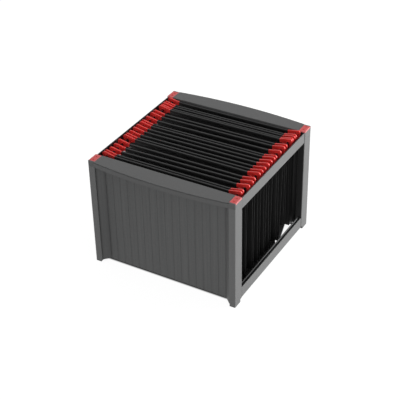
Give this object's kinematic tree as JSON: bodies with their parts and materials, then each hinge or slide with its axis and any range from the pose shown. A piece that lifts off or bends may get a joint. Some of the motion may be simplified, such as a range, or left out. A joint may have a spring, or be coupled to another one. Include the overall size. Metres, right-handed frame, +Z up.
{
  "type": "hanging file rack",
  "caption": "Open desktop rack with panelled ends, bowed grip rails and side windows, holding hanging files by their hooks.",
  "frame": {"origin": "on the floor, under the middle of the rack", "axes": "+X to the right along the file bars, -Y out of the front, +Z up"},
  "size_m": [0.37, 0.3936, 0.277],
  "materials": {
    "frame_grey": "fine moulded grain, dark grey",
    "grip_grey": "fine moulded grain, dark grey",
    "panel_grey": "fine moulded grain, darker grey",
    "cap_red": "satin, light red",
    "hook_red": "satin red",
    "file_black": "matt black sheet with a faint sheen on the bars"
  },
  "bodies": {
    "rack": {"left_front_post": "frame_grey", "right_front_post": "frame_grey", "left_rear_post": "frame_grey", "right_rear_post": "frame_grey", "left_front_cap": "cap_red", "right_front_cap": "cap_red", "left_rear_cap": "cap_red", "right_rear_cap": "cap_red", "left_hanging_rail": "frame_grey", "right_hanging_rail": "frame_grey", "left_base_rail": "frame_grey", "right_base_rail": "frame_grey", "front_grip_rail": "grip_grey", "rear_grip_rail": "grip_grey", "front_panel": "panel_grey", "rear_panel": "panel_grey"},
    "file_01": {"file_01_rear_sheet": "file_black", "file_01_rear_hooks": "hook_red"},
    "file_01_front": {"file_01_front_sheet": "file_black", "file_01_front_hooks": "hook_red"},
    "file_02": {"file_02_rear_sheet": "file_black", "file_02_rear_hooks": "hook_red"},
    "file_02_front": {"file_02_front_sheet": "file_black", "file_02_front_hooks": "hook_red"},
    "file_03": {"file_03_rear_sheet": "file_black", "file_03_rear_hooks": "hook_red"},
    "file_03_front": {"file_03_front_sheet": "file_black", "file_03_front_hooks": "hook_red"},
    "file_04": {"file_04_rear_sheet": "file_black", "file_04_rear_hooks": "hook_red"},
    "file_04_front": {"file_04_front_sheet": "file_black", "file_04_front_hooks": "hook_red"},
    "file_05": {"file_05_rear_sheet": "file_black", "file_05_rear_hooks": "hook_red"},
    "file_05_front": {"file_05_front_sheet": "file_black", "file_05_front_hooks": "hook_red"},
    "file_06": {"file_06_rear_sheet": "file_black", "file_06_rear_hooks": "hook_red"},
    "file_06_front": {"file_06_front_sheet": "file_black", "file_06_front_hooks": "hook_red"},
    "file_07": {"file_07_rear_sheet": "file_black", "file_07_rear_hooks": "hook_red"},
    "file_07_front": {"file_07_front_sheet": "file_black", "file_07_front_hooks": "hook_red"},
    "file_08": {"file_08_rear_sheet": "file_black", "file_08_rear_hooks": "hook_red"},
    "file_08_front": {"file_08_front_sheet": "file_black", "file_08_front_hooks": "hook_red"},
    "file_09": {"file_09_rear_sheet": "file_black", "file_09_rear_hooks": "hook_red"},
    "file_09_front": {"file_09_front_sheet": "file_black", "file_09_front_hooks": "hook_red"},
    "file_10": {"file_10_rear_sheet": "file_black", "file_10_rear_hooks": "hook_red"},
    "file_10_front": {"file_10_front_sheet": "file_black", "file_10_front_hooks": "hook_red"}
  },
  "joints": [
    {"name": "file_01_lift", "type": "slide", "parent": "rack", "child": "file_01", "axis": [0, 0, 1], "range_m": [0, 0.285]},
    {"name": "file_01_open", "type": "hinge", "parent": "file_01", "child": "file_01_front", "pos_m": [0, -0.14107, 0.0064], "axis": [1, 0, 0], "range_deg": [-0.73, 2.66]},
    {"name": "file_02_lift", "type": "slide", "parent": "rack", "child": "file_02", "axis": [0, 0, 1], "range_m": [0, 0.285]},
    {"name": "file_02_open", "type": "hinge", "parent": "file_02", "child": "file_02_front", "pos_m": [0.00033, -0.1175, 0.0064], "axis": [0.9998, 0.0209, 0], "range_deg": [-1.06, 2.26]},
    {"name": "file_03_lift", "type": "slide", "parent": "rack", "child": "file_03", "axis": [0, 0, 1], "range_m": [0, 0.285]},
    {"name": "file_03_open", "type": "hinge", "parent": "file_03", "child": "file_03_front", "pos_m": [0, -0.08155, 0.0064], "axis": [1, 0, 0], "range_deg": [-1.23, 1.74]},
    {"name": "file_04_lift", "type": "slide", "parent": "rack", "child": "file_04", "axis": [0, 0, 1], "range_m": [0, 0.285]},
    {"name": "file_04_open", "type": "hinge", "parent": "file_04", "child": "file_04_front", "pos_m": [0.00011, -0.04651, 0.0064], "axis": [0.9999, 0.0105, 0], "range_deg": [-1.43, 0.75]},
    {"name": "file_05_lift", "type": "slide", "parent": "rack", "child": "file_05", "axis": [0, 0, 1], "range_m": [0, 0.285]},
    {"name": "file_05_open", "type": "hinge", "parent": "file_05", "child": "file_05_front", "pos_m": [0.00012, -0.01698, 0.0064], "axis": [0.9999, 0.0105, 0], "range_deg": [-1.29, 2.54]},
    {"name": "file_06_lift", "type": "slide", "parent": "rack", "child": "file_06", "axis": [0, 0, 1], "range_m": [0, 0.285]},
    {"name": "file_06_open", "type": "hinge", "parent": "file_06", "child": "file_06_front", "pos_m": [0.00006, 0.01255, 0.0064], "axis": [1, 0.007, 0], "range_deg": [-0.86, 1.99]},
    {"name": "file_07_lift", "type": "slide", "parent": "rack", "child": "file_07", "axis": [0, 0, 1], "range_m": [0, 0.285]},
    {"name": "file_07_open", "type": "hinge", "parent": "file_07", "child": "file_07_front", "pos_m": [0.00031, 0.03948, 0.0064], "axis": [0.9998, 0.0175, 0], "range_deg": [-1.06, 3.05]},
    {"name": "file_08_lift", "type": "slide", "parent": "rack", "child": "file_08", "axis": [0, 0, 1], "range_m": [0, 0.285]},
    {"name": "file_08_open", "type": "hinge", "parent": "file_08", "child": "file_08_front", "pos_m": [0.0001, 0.07757, 0.0064], "axis": [1, 0.007, 0], "range_deg": [-1.7, 1.1]},
    {"name": "file_09_lift", "type": "slide", "parent": "rack", "child": "file_09", "axis": [0, 0, 1], "range_m": [0, 0.285]},
    {"name": "file_09_open", "type": "hinge", "parent": "file_09", "child": "file_09_front", "pos_m": [0.00004, 0.11047, 0.0304], "axis": [1, 0.007, 0], "range_deg": [-1.3, 0.27]},
    {"name": "file_10_lift", "type": "slide", "parent": "rack", "child": "file_10", "axis": [0, 0, 1], "range_m": [0, 0.285]},
    {"name": "file_10_open", "type": "hinge", "parent": "file_10", "child": "file_10_front", "pos_m": [-0.00003, 0.14229, 0.0114], "axis": [1, 0.007, 0], "range_deg": [-3.09, 0.61]}
  ]
}
